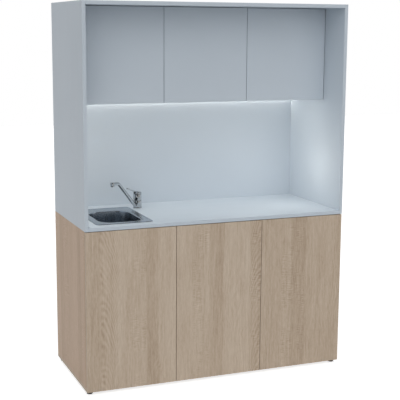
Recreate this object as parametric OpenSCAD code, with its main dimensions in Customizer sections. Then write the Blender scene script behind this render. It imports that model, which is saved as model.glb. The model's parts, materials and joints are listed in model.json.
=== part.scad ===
// Kitchenette unit: a wood-decor base cabinet with three doors, a white upper frame with an
// open niche and a wall cabinet, an inset steel sink and a single-lever tap.
// Origin: middle of the footprint on the floor. +X right, +Y to the back, +Z up. Millimetres.

/* [Unit] */
// Overall width over the side panels
unit_w = 1500; // [1350:10:1800]
// Overall depth, from the door fronts to the back
unit_d = 640; // [610:5:700]
// Height of the wood base between its feet and the worktop
base_h = 863; // [800:1:900]
// Height of the white upper part, from the top of the base to the top of the unit
upper_h = 1164; // [1100:1:1300]
// Thickness of the decor boards
board_t = 19; // [16:1:22]
// Thickness of the worktop
worktop_t = 19; // [16:1:25]
// Thickness of the base's back panel
base_back_t = 8; // [5:1:12]
// Visible height of the feet
foot_h = 18; // [15:1:30]

/* [Doors] */
// Thickness of all doors
door_t = 19; // [16:1:22]
// Gap between neighbouring doors
door_gap = 3; // [3:0.5:4]
// Gap behind a closed door
back_gap = 2; // [2:0.5:3]
// Height of the wall cabinet's front, top panel included
wall_front_h = 531; // [450:1:600]
// How far the wall cabinet's doors stand back from the front
wall_setback = 216; // [150:1:260]
// How far the wall cabinet's doors hang below its bottom panel, as a finger grip
grip_h = 20; // [15:1:30]

/* [Hinges] */
// Diameter of the hinge cups
cup_d = 35; // [35:1:36]
// Distance from a door's edge to its hinge cup
cup_edge = 5; // [5:0.5:6]
// Depth of the hinge cups
cup_depth = 12; // [11.5:0.5:12.5]
// Distance from a door's top or bottom to the middle of the nearest hinge
hinge_inset = 100; // [80:5:130]
// Width of the hinge arms
arm_w = 14; // [12:1:15]

/* [Shelves] */
// Height of the shelves above the bottom of the base
base_shelf_h = 420; // [300:10:520]
// Height of the shelves above the bottom of the wall cabinet
wall_shelf_h = 225; // [180:5:260]
// How far the shelves stand back from the front of the carcass
shelf_setback = 30; // [25:5:60]
// Diameter of the shelf pins
pin_d = 5; // [4:0.5:6]
// Play at each end of a shelf
shelf_play = 1; // [0.5:0.5:2]

/* [Sink] */
// Width of the sink over its rim
sink_w = 316; // [300:2:330]
// Depth of the sink over its rim, front to back
sink_d = 456; // [440:2:470]
// Distance sideways from the tap's axis to the middle of the sink
sink_from_tap = 203; // [195:1:215]
// Distance from the front to the sink's rim
sink_from_front = 60; // [55:1:65]
// Width of the bowl opening
bowl_w = 232; // [220:2:240]
// Depth of the bowl opening, front to back
bowl_d = 318; // [300:2:330]
// Distance from the front of the rim to the bowl opening
bowl_from_rim = 44; // [40:1:50]
// Corner radius of the bowl
bowl_r = 72; // [60:1:80]
// How deep the bowl is
bowl_depth = 130; // [110:1:150]
// Thickness of the pressed steel sheet
sheet_t = 1; // [0.8:0.1:1.2]
// Thickness of the seal under the sink's rim
seal_t = 1; // [0.8:0.1:1.5]

/* [Tap] */
// Distance from the seam of the left door to the tap's axis
tap_from_seam = 60; // [50:1:70]
// Distance from the back to the tap's axis
tap_from_back = 160; // [130:1:190]
// Diameter of the tap's body
tap_d = 48; // [46:1:52]
// Height of the tap's body under the lever cap
tap_h = 80; // [76:1:95]
// Direction of the spout, turned from straight left towards the front
spout_turn = 28; // [0:1:45]
// Rise of the spout's straight tube
spout_rise = 47; // [40:1:50]
// Length of the straight tube, from the tap's body
spout_len = 178; // [160:1:190]
// Length of the level tip after the bend
tip_len = 34; // [30:1:50]
// Diameter of the spout tube
tube_d = 19; // [17:0.5:20]
// Length of the lever
lever_len = 92; // [80:1:96]
// Rise of the lever at rest
lever_rise = 20; // [15:1:25]

/* [Waste] */
// Diameter of the waste opening in the bowl
waste_d = 86; // [80:1:90]
// Outer diameter of the waste pipe
pipe_d = 40; // [32:1:50]
// Height of the waste pipe above the floor
pipe_z = 640; // [600:5:660]
// Width of the service cut-out in the back
service_w = 300; // [260:10:340]
// Height of the service cut-out in the back
service_h = 180; // [160:10:220]
// Distance sideways from the middle of the sink to the cut-out's left edge
service_from_sink = 158; // [140:1:160]

/* [Feet] */
// Diameter of the foot pads
foot_d = 32; // [28:1:36]
// Distance from the outer side to a foot's axis
foot_from_side = 24; // [20:1:30]
// Distance from the front or the back to a foot's axis
foot_from_front = 38; // [36:1:60]
// Diameter of the threaded foot stem
stem_d = 10; // [8:1:12]
// How far a foot can be screwed out
foot_travel = 10; // [6:1:12]

/* [Hidden] */

white = [0.80, 0.84, 0.88];
wood = [0.70, 0.63, 0.54];
steel = [0.72, 0.73, 0.74];
chrome = [0.82, 0.84, 0.86];
black = [0.08, 0.08, 0.08];
plastic = [0.92, 0.92, 0.90];

// Faceting: large rounds, small rounds, pressed corners
fn_big = 48;
fn_small = 24;
fn_pressed = 32;
// Running clearance of a shaft in its bore, and the gap that keeps moving faces apart
fit = 0.05;
near = 0.3;

// Main planes
half_w = unit_w / 2;
inner_x = half_w - board_t;
front_y = -unit_d / 2;
rear_y = unit_d / 2;
base_z = foot_h;
base_floor_z = base_z + board_t;
base_top_z = base_z + base_h;
counter_z = base_top_z + worktop_t;
unit_top_z = base_top_z + upper_h;
ceiling_z = unit_top_z - board_t;
base_front_y = front_y + door_t + back_gap;
base_back_y = rear_y - base_back_t;
niche_back_y = rear_y - board_t;

// Base doors: three equal doors over the whole front
base_door_w = (unit_w - 3 * door_gap) / 3;
base_door_h = base_h - door_gap;
base_seam_x = (base_door_w + door_gap) / 2;

// Wall cabinet: three equal doors between the white sides
wall_y = front_y + wall_setback;
wall_front_y = wall_y + door_t + back_gap;
wall_door_z = unit_top_z - wall_front_h;
wall_door_w = (2 * inner_x - 4 * door_gap) / 3;
wall_door_h = ceiling_z - door_gap - wall_door_z;
wall_seam_x = (wall_door_w + door_gap) / 2;
wall_bottom_z = wall_door_z + grip_h;
wall_floor_z = wall_bottom_z + board_t;

// Rails under the worktop, clear of the sink bowl
front_rail_d = 60;
rear_rail_d = 80;

// Hinge: the door turns about a fixed line near its edge; the arm is cranked to its side panel
pivot_in = 6;
pivot_back = 5;
cup_wall = 1;
cup_clear = 0.05;
flange_t = 0.8;
flange_len = 64;
flange_w = 24;
arm_nose_in = pivot_in + 20;
arm_nose_t = 10;
arm_nose_back = pivot_back + 5;
arm_t = 12;
plate_t = 2;
plate_w = 44;
plate_len = 50;
plate_start = 38;
full_overlay = board_t - door_gap / 2;
half_overlay = board_t / 2 - door_gap / 2;
inset = -door_gap;

// Push latch under the front rail
latch_d = 14;
latch_len = 70;
plunger_d = 8;
plunger_head_d = 10;
plunger_head_t = 1.5;
plunger_travel = 2;
latch_from_edge = 35;
strike_d = 14;
strike_t = 0.8;
latch_z = base_top_z - board_t - latch_d / 2;

// Buffers between a door's free edge and the carcass
buffer_d = 7;
buffer_in = 4;
buffer_from_end = 40;

// Sink and tap, in their own plan positions
tap_x = -base_seam_x - tap_from_seam;
tap_y = rear_y - tap_from_back;
sink_x = tap_x - sink_from_tap;
rim_front_y = front_y + sink_from_front;
sink_y = rim_front_y + sink_d / 2;
bowl_y = rim_front_y + bowl_from_rim + bowl_d / 2;
deck_z = counter_z + seal_t + sheet_t;
lip_r = 6;
draft = 6;
bottom_r = 22;
rim_r = 22;
bead_w = 8;
bead_h = 1.6;
bowl_floor_z = deck_z - bowl_depth;
cutout_margin = 12;
overflow_drop = 42;
overflow_d = 26;

// Tap, in its own frame: axis on z, worktop at z = 0
tap_foot_d = tap_d + 3;
tap_foot_h = 6;
ring_h = 38;
core_d = tap_d - 14;
shank_d = 32;
shank_len = 45;
shank_hole_d = 35;
tube_leave_z = 19;
bend_r = 26;
tip_drop = 2;
outlet_d = 24;
outlet_h = 20;
cap_h = 14;
lever_pivot_z = tap_h + near + cap_h - 7;
lever_pin_d = 5;
lever_slot_w = 12;

// Waste parts under the bowl
waste_cup_d = waste_d - 4;
waste_cup_h = 34;
waste_lip_h = 1.2;
tail_d = pipe_d - 2;
tail_z = bowl_floor_z - 62;
trap_d = 60;
trap_floor_z = pipe_z - 95;
trap_top_z = tail_z - 8;
pipe_end_y = rear_y - 2;
pipe_wall = 2;
spigot_len = 50;
stop_w = 7;
stop_h = 2;
nut_t = 20;
overflow_tube_d = 18;

// ---------------------------------------------------------------- shared shapes

// A board from its two corner positions on each axis
module slab(x, y, z) {
  translate([x[0], y[0], z[0]]) cube([x[1] - x[0], y[1] - y[0], z[1] - z[0]]);
}

// Points along an arc, from angle a to angle b
function arc(cx, cy, r, a, b, n = 6) =
  [for (i = [0:n]) [cx + r * cos(a + (b - a) * i / n), cy + r * sin(a + (b - a) * i / n)]];

module rounded_rect(w, d, r) {
  square([w - 2 * r, d], center = true);
  square([w, d - 2 * r], center = true);
  for (sx = [-1, 1], sy = [-1, 1]) translate([sx * (w / 2 - r), sy * (d / 2 - r)]) circle(r, $fn = fn_pressed);
}

// Sweeps a wall section round a rounded rectangle. The section's x runs outwards from the corner's centre
module swept_section(w, d, r) {
  corners = [[1, 1, 0], [-1, 1, 90], [-1, -1, 180], [1, -1, 270]];
  for (c = corners) translate([c[0] * (w / 2 - r), c[1] * (d / 2 - r), 0]) rotate(c[2])
    rotate_extrude(angle = 90, $fn = fn_pressed) children();
  for (side = [0:3]) {
    reach = (side % 2 == 0 ? w : d) / 2 - r;
    run = (side % 2 == 0 ? d : w) - 2 * r;
    rotate(90 * side) translate([reach, 0, 0]) rotate([90, 0, 0])
      linear_extrude(run, center = true) children();
  }
}

module tube(outer, inner, h, n = fn_big) {
  difference() {
    cylinder(d = outer, h = h, $fn = n);
    translate([0, 0, -1]) cylinder(d = inner, h = h + 2, $fn = n);
  }
}

// ---------------------------------------------------------------- base carcass

foot_spots = [for (sx = [-1, 1], sy = [-1, 1]) [sx, sy]];
function foot_x(sx) = sx * (half_w - foot_from_side);
function foot_y(sy) = sy * (unit_d / 2 - foot_from_front);
socket_d = 16;
stem_grip = 8;

module base_bottom() {
  color(wood) difference() {
    slab([-half_w, half_w], [base_front_y, rear_y], [base_z, base_floor_z]);
    for (s = foot_spots) translate([foot_x(s[0]), foot_y(s[1]), base_z - 1])
      cylinder(d = socket_d, h = board_t + 2, $fn = fn_small);
  }
}

// Blind holes for the shelf pins, on the side of a panel that faces +X (side = 1) or -X (side = -1)
pin_hole_depth = 9;
pin_pitch = 32;
pin_inset = 50;
module pin_holes(face_x, side, front, rear, shelf_z) {
  for (y = [front + shelf_setback + pin_inset, rear - pin_inset], k = [-1, 0, 1])
    translate([face_x, y, shelf_z - pin_d / 2 + k * pin_pitch]) rotate([0, -90 * side, 0])
      translate([0, 0, -1]) cylinder(d = pin_d, h = pin_hole_depth + 1, $fn = 16);
}

base_shelf_z = base_floor_z + base_shelf_h;
wall_shelf_z = wall_floor_z + wall_shelf_h;

module base_side(side) {
  color(wood) difference() {
    slab(side < 0 ? [-half_w, -inner_x] : [inner_x, half_w], [base_front_y, rear_y], [base_floor_z, base_top_z]);
    if (side > 0) pin_holes(inner_x, -1, base_front_y, base_back_y, base_shelf_z);
  }
}

module base_divider(side) {
  x = side * base_seam_x;
  color(white) difference() {
    slab([x - board_t / 2, x + board_t / 2], [base_front_y, base_back_y], [base_floor_z, base_top_z]);
    if (side > 0) pin_holes(x + board_t / 2, 1, base_front_y, base_back_y, base_shelf_z);
    pin_holes(x - side * board_t / 2, -side, base_front_y, base_back_y, base_shelf_z);
  }
}

// The back panel has the service cut-out behind the sink
service_left_x = sink_x - service_from_sink;
service_x = [service_left_x, service_left_x + service_w];
service_z = [pipe_z - service_h / 2, pipe_z + service_h / 2];
screw_head_d = 8;
screw_h = 2;
screw_spots = [for (x = [-base_seam_x, base_seam_x], z = [base_floor_z + 30, (base_floor_z + base_top_z) / 2,
  base_top_z - 30]) [x, z]];
module base_back() {
  color(white) difference() {
    slab([-inner_x, inner_x], [base_back_y, rear_y], [base_floor_z, base_top_z]);
    slab(service_x, [base_back_y - 1, rear_y + 1], service_z);
    for (spot = screw_spots) translate([spot[0], rear_y - screw_h, spot[1]]) rotate([-90, 0, 0])
      cylinder(d = screw_head_d, h = screw_h + 1, $fn = 16);
  }
}

// Front and rear rails between the uprights carry the worktop
module base_rails() {
  bays = [[-inner_x, -base_seam_x - board_t / 2], [-base_seam_x + board_t / 2, base_seam_x - board_t / 2],
    [base_seam_x + board_t / 2, inner_x]];
  color(white) for (bay = bays) {
    slab(bay, [base_front_y, base_front_y + front_rail_d], [base_top_z - board_t, base_top_z]);
    slab(bay, [base_back_y - rear_rail_d, base_back_y], [base_top_z - board_t, base_top_z]);
  }
}

base_bays = [[-base_seam_x + board_t / 2, base_seam_x - board_t / 2], [base_seam_x + board_t / 2, inner_x]];
wall_bays = [[-inner_x, -wall_seam_x - board_t / 2], [-wall_seam_x + board_t / 2, wall_seam_x - board_t / 2],
  [wall_seam_x + board_t / 2, inner_x]];

module shelf(bay, front, rear, z) {
  slab([bay[0] + shelf_play, bay[1] - shelf_play], [front + shelf_setback, rear - shelf_play], [z, z + board_t]);
}

module base_shelves() {
  color(white) for (bay = base_bays) shelf(bay, base_front_y, base_back_y, base_shelf_z);
}

// Pins stick out of their holes and carry a shelf from below
pin_out = 8;
module pins(bay, front, rear, shelf_z) {
  for (y = [front + shelf_setback + pin_inset, rear - pin_inset], end = [0, 1])
    translate([bay[end], y, shelf_z - pin_d / 2]) rotate([0, end == 0 ? -90 : 90, 0])
      translate([0, 0, -pin_out]) cylinder(d = pin_d, h = pin_out + pin_hole_depth - 0.5, $fn = 16);
}

module shelf_pins() {
  color(steel) {
    for (bay = base_bays) pins(bay, base_front_y, base_back_y, base_shelf_z);
    for (bay = wall_bays) pins(bay, wall_front_y, niche_back_y, wall_shelf_z);
  }
}

// Countersunk screws that hold the base's back to the dividers
module back_screws() {
  color(steel) for (spot = screw_spots) translate([spot[0], rear_y - screw_h, spot[1]]) rotate([-90, 0, 0])
    cylinder(d = screw_head_d, h = screw_h - 0.2, $fn = 16);
}

// ---------------------------------------------------------------- worktop and upper frame

module worktop() {
  color(white) difference() {
    slab([-inner_x, inner_x], [front_y, niche_back_y], [base_top_z, counter_z]);
    translate([sink_x, bowl_y, base_top_z - 1]) linear_extrude(worktop_t + 2)
      rounded_rect(bowl_w + 2 * cutout_margin, bowl_d + 2 * cutout_margin, bowl_r + cutout_margin);
    translate([tap_x, tap_y, base_top_z - 1]) cylinder(d = shank_hole_d, h = worktop_t + 2, $fn = fn_big);
  }
}

module upper_side(side) {
  color(white) difference() {
    slab(side < 0 ? [-half_w, -inner_x] : [inner_x, half_w], [front_y, rear_y], [base_top_z, unit_top_z]);
    pin_holes(side * inner_x, -side, wall_front_y, niche_back_y, wall_shelf_z);
  }
}

module top_panel() {
  color(white) slab([-inner_x, inner_x], [front_y, rear_y], [ceiling_z, unit_top_z]);
}

// Two holes near the top take the screws into a room's wall
wall_hole_d = 8;
wall_hole_span = 900;
wall_hole_z = ceiling_z - 60;
module niche_back() {
  color(white) difference() {
    slab([-inner_x, inner_x], [niche_back_y, rear_y], [base_top_z, ceiling_z]);
    for (sx = [-1, 1]) translate([sx * wall_hole_span / 2, niche_back_y - 1, wall_hole_z]) rotate([-90, 0, 0])
      cylinder(d = wall_hole_d, h = board_t + 2, $fn = fn_small);
  }
}

module wall_bottom() {
  color(white) slab([-inner_x, inner_x], [wall_front_y, niche_back_y], [wall_bottom_z, wall_floor_z]);
}

module wall_divider(side) {
  x = side * wall_seam_x;
  color(white) difference() {
    slab([x - board_t / 2, x + board_t / 2], [wall_front_y, niche_back_y], [wall_floor_z, ceiling_z]);
    for (face = [-1, 1]) pin_holes(x + face * board_t / 2, face, wall_front_y, niche_back_y, wall_shelf_z);
  }
}

module wall_shelves() {
  color(white) for (bay = wall_bays) shelf(bay, wall_front_y, niche_back_y, wall_shelf_z);
}

// Light strip under the wall cabinet, along the niche's back
led_w = 18;
led_h = 8;
led_wall = 1.5;
led_end_gap = 4;
led_back_gap = 14;
led_y = niche_back_y - led_back_gap - led_w / 2;
led_half = inner_x - led_end_gap;

module led_profile() {
  color(steel) difference() {
    slab([-led_half, led_half], [led_y - led_w / 2, led_y + led_w / 2], [wall_bottom_z - led_h, wall_bottom_z]);
    slab([-led_half + led_wall, led_half - led_wall], [led_y - led_w / 2 + led_wall, led_y + led_w / 2 - led_wall],
      [wall_bottom_z - led_h - 1, wall_bottom_z - led_wall]);
  }
}

module led_strip() {
  color(plastic) slab([-led_half + 8, led_half - 8], [led_y - 5, led_y + 5],
    [wall_bottom_z - led_wall - 1.2, wall_bottom_z - led_wall]);
}

module led_diffuser() {
  color([1, 1, 0.96]) slab([-led_half + led_wall, led_half - led_wall],
    [led_y - led_w / 2 + led_wall, led_y + led_w / 2 - led_wall], [wall_bottom_z - led_h, wall_bottom_z - led_h + 1.5]);
}

// ---------------------------------------------------------------- doors and hinges

// A door is drawn with its hinge edge at x = 0 and its front at y = 0, and then put in its place.
// hand = 1 hinges on the left, hand = -1 on the right
module at_door(x, y, z, hand) {
  translate([x, y, z]) mirror([hand < 0 ? 1 : 0, 0, 0]) children();
}

cup_x = cup_edge + cup_d / 2;
function hinge_heights(h) = [hinge_inset, h - hinge_inset];

module door(w, h, tone) {
  color(tone) difference() {
    cube([w, door_t, h]);
    for (z = hinge_heights(h)) translate([cup_x, door_t - cup_depth - 0.5, z]) rotate([-90, 0, 0])
      cylinder(d = cup_d, h = cup_depth + 2, $fn = fn_big);
  }
}

// Pressed hinge cup with its screwed flange
module hinge_cup() {
  rotate([-90, 0, 0]) {
    translate([0, 0, -cup_depth]) difference() {
      cylinder(d = cup_d - 2 * cup_clear, h = cup_depth, $fn = fn_big);
      translate([0, 0, cup_wall]) cylinder(d = cup_d - 2 * cup_clear - 2 * cup_wall, h = cup_depth, $fn = fn_big);
    }
    difference() {
      linear_extrude(flange_t) {
        circle(d = cup_d + 4, $fn = fn_big);
        rounded_rect(flange_w, flange_len, 6);
      }
      translate([0, 0, -1]) cylinder(d = cup_d - 2 * cup_clear - 2 * cup_wall, h = flange_t + 2, $fn = fn_big);
    }
  }
}

module fittings(h) {
  color(steel) for (z = hinge_heights(h)) translate([cup_x, door_t, z]) hinge_cup();
}

// The strike of the push latch is glued to the door's back near its free edge
module strike(w) {
  color(steel) translate([w - latch_from_edge, door_t, latch_z - base_z]) rotate([-90, 0, 0])
    cylinder(d = strike_d, h = strike_t, $fn = fn_small);
}

// Cranked hinge arm on its mounting plate. reach is where the side panel's face lies from the door's edge
module hinge_arm(reach) {
  nose_x = arm_nose_in;
  side_x = reach + plate_t;
  behind = door_t + back_gap;
  crank_y = behind + 9;
  end_y = plate_start + plate_len;
  difference() {
    translate([0, 0, -arm_w / 2]) linear_extrude(arm_w) polygon([[nose_x, arm_nose_back],
      [nose_x + arm_nose_t, arm_nose_back], [nose_x + arm_nose_t, crank_y], [side_x + arm_t, plate_start],
      [side_x + arm_t, end_y], [side_x, end_y], [side_x, behind + 5], [nose_x, behind + 1]]);
    translate([side_x - 1, plate_start + 4, -arm_w / 2 + 1.5]) cube([arm_t - 0.5, plate_len, arm_w - 3]);
  }
  translate([reach, plate_start, -plate_w / 2]) cube([plate_t, plate_len, plate_w]);
}

base_doors = [[-half_w + door_gap / 2, 1, full_overlay], [-base_door_w / 2, 1, half_overlay],
  [half_w - door_gap / 2, -1, full_overlay]];
wall_doors = [[-inner_x + door_gap, 1, inset], [-wall_door_w / 2, 1, half_overlay], [inner_x - door_gap, -1, inset]];

module base_door(i) {
  at_door(base_doors[i][0], front_y, base_z, base_doors[i][1]) door(base_door_w, base_door_h, wood);
}

module base_fittings(i) {
  at_door(base_doors[i][0], front_y, base_z, base_doors[i][1]) {
    fittings(base_door_h);
    strike(base_door_w);
  }
}

module wall_door(i) {
  at_door(wall_doors[i][0], wall_y, wall_door_z, wall_doors[i][1]) door(wall_door_w, wall_door_h, white);
}

module wall_fittings(i) {
  at_door(wall_doors[i][0], wall_y, wall_door_z, wall_doors[i][1]) fittings(wall_door_h);
}

module hinge_arms() {
  color(steel) {
    for (d = base_doors, z = hinge_heights(base_door_h))
      at_door(d[0], front_y, base_z + z, d[1]) hinge_arm(d[2]);
    for (d = wall_doors, z = hinge_heights(wall_door_h))
      at_door(d[0], wall_y, wall_door_z + z, d[1]) hinge_arm(d[2]);
  }
}

// Soft buffers on the carcass, just behind the doors' free edges
module buffers(doors, w, h, y, z) {
  for (d = doors, up = [buffer_from_end, h - buffer_from_end])
    at_door(d[0], y + door_t + near, z + up, d[1]) translate([w - buffer_in, 0, 0]) rotate([-90, 0, 0])
      cylinder(d = buffer_d, h = back_gap - near, $fn = fn_small);
}

module door_buffers() {
  color(black) {
    buffers(base_doors, base_door_w, base_door_h, front_y, base_z);
    buffers(wall_doors, wall_door_w, wall_door_h, wall_y, wall_door_z);
  }
}

// Push latches: a bored housing under the front rail and a sprung plunger in it
latch_front_y = base_front_y + plunger_travel + 1.5;
module at_latch(i) {
  at_door(base_doors[i][0], 0, latch_z, base_doors[i][1]) translate([base_door_w - latch_from_edge, 0, 0]) children();
}

module latch_housings() {
  color(plastic) for (i = [0:2]) at_latch(i) {
    translate([0, latch_front_y, 0]) rotate([-90, 0, 0]) difference() {
      cylinder(d = latch_d, h = latch_len, $fn = fn_big);
      translate([0, 0, -1]) cylinder(d = plunger_d + 2 * fit, h = latch_len - 4, $fn = fn_big);
    }
    translate([-latch_d / 2 - 8, latch_front_y + latch_len - 24, latch_d / 2 - 2]) cube([latch_d + 16, 20, 2]);
  }
}

module plunger(i) {
  head_y = front_y + door_t + strike_t + near;
  color(plastic) at_latch(i) translate([0, head_y, 0]) rotate([-90, 0, 0]) {
    cylinder(d = plunger_head_d, h = plunger_head_t, $fn = fn_small);
    cylinder(d = plunger_d, h = latch_len - 18, $fn = fn_big);
  }
}

// ---------------------------------------------------------------- sink

// Half section of the pressed wall: lip, drafted wall and bottom radius, one sheet thick
module bowl_section() {
  wall_x = bowl_r - draft;
  root_x = wall_x - bottom_r;
  root_z = -bowl_depth + bottom_r;
  inside = concat(arc(bowl_r + lip_r, -lip_r, lip_r, 90, 180), arc(root_x, root_z, bottom_r, 0, -90));
  outside = concat(arc(root_x, root_z, bottom_r + sheet_t, -90, 0), arc(bowl_r + lip_r, -lip_r, lip_r - sheet_t, 180, 90));
  polygon(concat(inside, outside));
}

// Raised bead with its folded edge round the rim
module bead_section() {
  t = sheet_t;
  polygon([[rim_r - bead_w, -t], [rim_r - bead_w, 0], [rim_r - 6, bead_h], [rim_r - 3.5, bead_h],
    [rim_r, -t - seal_t + 0.2], [rim_r - 1.2, -t - seal_t + 0.2], [rim_r - 3.9, bead_h - t], [rim_r - 5.6, bead_h - t],
    [rim_r - 7.4, -t]]);
}

module sink() {
  floor_w = bowl_w - 2 * (draft + bottom_r);
  floor_d = bowl_d - 2 * (draft + bottom_r);
  floor_r = bowl_r - draft - bottom_r;
  color(steel) {
    translate([sink_x, sink_y, deck_z]) swept_section(sink_w, sink_d, rim_r) bead_section();
    translate([0, 0, deck_z - sheet_t]) linear_extrude(sheet_t) difference() {
      translate([sink_x, sink_y]) rounded_rect(sink_w - 2 * bead_w, sink_d - 2 * bead_w, rim_r - bead_w);
      translate([sink_x, bowl_y]) rounded_rect(bowl_w + 2 * lip_r, bowl_d + 2 * lip_r, bowl_r + lip_r);
    }
    difference() {
      translate([sink_x, bowl_y, deck_z]) swept_section(bowl_w, bowl_d, bowl_r) bowl_section();
      translate([sink_x, bowl_y + bowl_d / 2 - draft - 4, deck_z - overflow_drop]) rotate([-90, 0, 0])
        cylinder(d = overflow_d - 6, h = draft + 12, $fn = fn_small);
    }
    translate([sink_x, bowl_y, bowl_floor_z - sheet_t]) linear_extrude(sheet_t) difference() {
      rounded_rect(floor_w, floor_d, floor_r);
      circle(d = waste_d, $fn = fn_big);
    }
  }
}

module sink_seal() {
  color(black) translate([0, 0, counter_z]) linear_extrude(seal_t) difference() {
    translate([sink_x, sink_y]) rounded_rect(sink_w - 2 * bead_w, sink_d - 2 * bead_w, rim_r - bead_w);
    translate([sink_x, sink_y]) rounded_rect(sink_w - 2 * bead_w - 14, sink_d - 2 * bead_w - 14, rim_r - bead_w - 6);
  }
}

// Clips under the worktop clamp the bowl on its long sides
module sink_clips() {
  clip_w = 16;
  bowl_side = bowl_w / 2 + sheet_t;
  color(steel) for (side = [-1, 1], end = [-1, 1])
    translate([sink_x, bowl_y + end * (bowl_d / 2 - bowl_r - 10), base_top_z]) mirror([side < 0 ? 1 : 0, 0, 0]) {
      translate([bowl_side, -clip_w / 2, -2]) cube([cutout_margin + 16, clip_w, 2]);
      translate([bowl_side + cutout_margin + 8, 0, -8]) cylinder(d = 8, h = 6, $fn = fn_small);
    }
}

// ---------------------------------------------------------------- waste and trap

module waste_body() {
  r = waste_cup_d / 2;
  flange_r = waste_d / 2 + 8;
  tail_r = tail_d / 2;
  color(chrome) translate([sink_x, bowl_y, bowl_floor_z]) rotate_extrude($fn = fn_big) polygon([[r - 1.5, waste_lip_h],
    [flange_r, 0.6], [flange_r, 0], [r, 0], [r, -waste_cup_h], [tail_r, -waste_cup_h - 6], [tail_r, tail_z - bowl_floor_z],
    [tail_r - 2, tail_z - bowl_floor_z], [tail_r - 2, -waste_cup_h - 4.5], [r - 1.5, -waste_cup_h + 1]]);
}

// Lift-out basket with its knob; its rim rests on the waste's flange
module strainer() {
  r = waste_cup_d / 2 - 1.5 - near;
  basket_r = r - 8;
  lip_z = waste_lip_h + near;
  color(chrome) translate([sink_x, bowl_y, bowl_floor_z]) {
    difference() {
      rotate_extrude($fn = fn_big) polygon([[0, -20], [basket_r, -20], [r, lip_z - 5], [r, lip_z], [r + 3, lip_z],
        [r + 3, lip_z + 0.8], [r - 0.8, lip_z + 0.8], [r - 0.8, lip_z - 4.6], [basket_r - 0.6, -19.2], [0, -19.2]]);
      for (ring = [[12, 6], [24, 10]], k = [0:ring[1] - 1]) rotate(360 * k / ring[1])
        translate([ring[0], 0, -21]) cylinder(d = 4.5, h = 4, $fn = 16);
    }
    rotate_extrude($fn = fn_small) polygon([[0, -20], [4, -20], [4, -4], [9, 1], [9, 4], [0, 5]]);
  }
}

overflow_x = sink_x;
overflow_z = deck_z - overflow_drop;
overflow_y = bowl_y + bowl_d / 2 + 2;
overflow_drop_y = overflow_y + 18;
overflow_low_z = bowl_floor_z - waste_cup_h / 2 - 4;
module overflow_pipe() {
  bend = 16;
  r = overflow_tube_d / 2;
  color(plastic) {
    translate([overflow_x, overflow_y, overflow_z]) rotate([-90, 0, 0]) cylinder(d = overflow_d, h = 18 + r, $fn = fn_small);
    translate([overflow_x, overflow_drop_y, overflow_low_z + bend])
      cylinder(d = overflow_tube_d, h = overflow_z - overflow_low_z - bend, $fn = fn_small);
    translate([overflow_x, overflow_drop_y - bend, overflow_low_z + bend]) rotate([90, 0, 90])
      rotate_extrude(angle = -90, $fn = fn_big) translate([bend, 0]) circle(d = overflow_tube_d, $fn = fn_small);
    difference() {
      translate([overflow_x, bowl_y, overflow_low_z]) rotate([-90, 0, 0])
        cylinder(d = overflow_tube_d, h = overflow_drop_y - bend - bowl_y, $fn = fn_small);
      translate([sink_x, bowl_y, overflow_low_z - r - 1]) cylinder(d = waste_cup_d, h = 2 * r + 2, $fn = fn_big);
    }
  }
}

// Bottle trap: an inlet neck, the bottle with its screwed cup and an outlet towards the back
trap_neck_d = pipe_d + 4;
module trap_body() {
  color(plastic) translate([sink_x, bowl_y, 0]) {
    translate([0, 0, trap_floor_z]) rotate_extrude($fn = fn_big) {
      polygon([[0, 0], [trap_d / 2 - 4, 0], [trap_d / 2 + 3, 6], [trap_d / 2 + 3, 46], [trap_d / 2, 46],
        [trap_d / 2, pipe_z - trap_floor_z + 24], [trap_neck_d / 2, pipe_z - trap_floor_z + 30],
        [trap_neck_d / 2, trap_top_z - trap_floor_z], [0, trap_top_z - trap_floor_z]]);
    }
    translate([0, 0, pipe_z]) rotate([-90, 0, 0]) cylinder(d = trap_neck_d, h = trap_d / 2 + 22, $fn = fn_big);
  }
}

outlet_y = bowl_y + trap_d / 2 + 22;
module ribbed_nut(d, inner) {
  difference() {
    union() {
      cylinder(d = d, h = nut_t, $fn = fn_big);
      for (k = [0:11]) rotate(30 * k) translate([d / 2 - 0.5, 0, 3]) cylinder(d = 3, h = nut_t - 6, $fn = 8);
    }
    translate([0, 0, -1]) cylinder(d = inner, h = nut_t + 2, $fn = fn_big);
  }
}

module trap_nuts() {
  color(plastic) {
    translate([sink_x, bowl_y, trap_top_z]) ribbed_nut(pipe_d + 14, tail_d);
    translate([sink_x, outlet_y, pipe_z]) rotate([-90, 0, 0]) ribbed_nut(pipe_d + 14, pipe_d);
  }
}

// The pipe ends in a spigot. A bevelled ring stops the sleeve that is pushed over it
module waste_pipe() {
  r = pipe_d / 2;
  run = pipe_end_y - outlet_y;
  stop = run - spigot_len;
  color(plastic) translate([sink_x, outlet_y, pipe_z]) rotate([-90, 0, 0]) rotate_extrude($fn = fn_big)
    polygon([[r - pipe_wall, 0], [r, 0], [r, stop - stop_w], [r + stop_h, stop - stop_w + stop_h],
      [r + stop_h, stop - stop_h], [r, stop], [r, run], [r - pipe_wall, run]]);
}

// ---------------------------------------------------------------- tap

module at_tap(z = 0) {
  translate([tap_x, tap_y, counter_z + z]) children();
}

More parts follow.
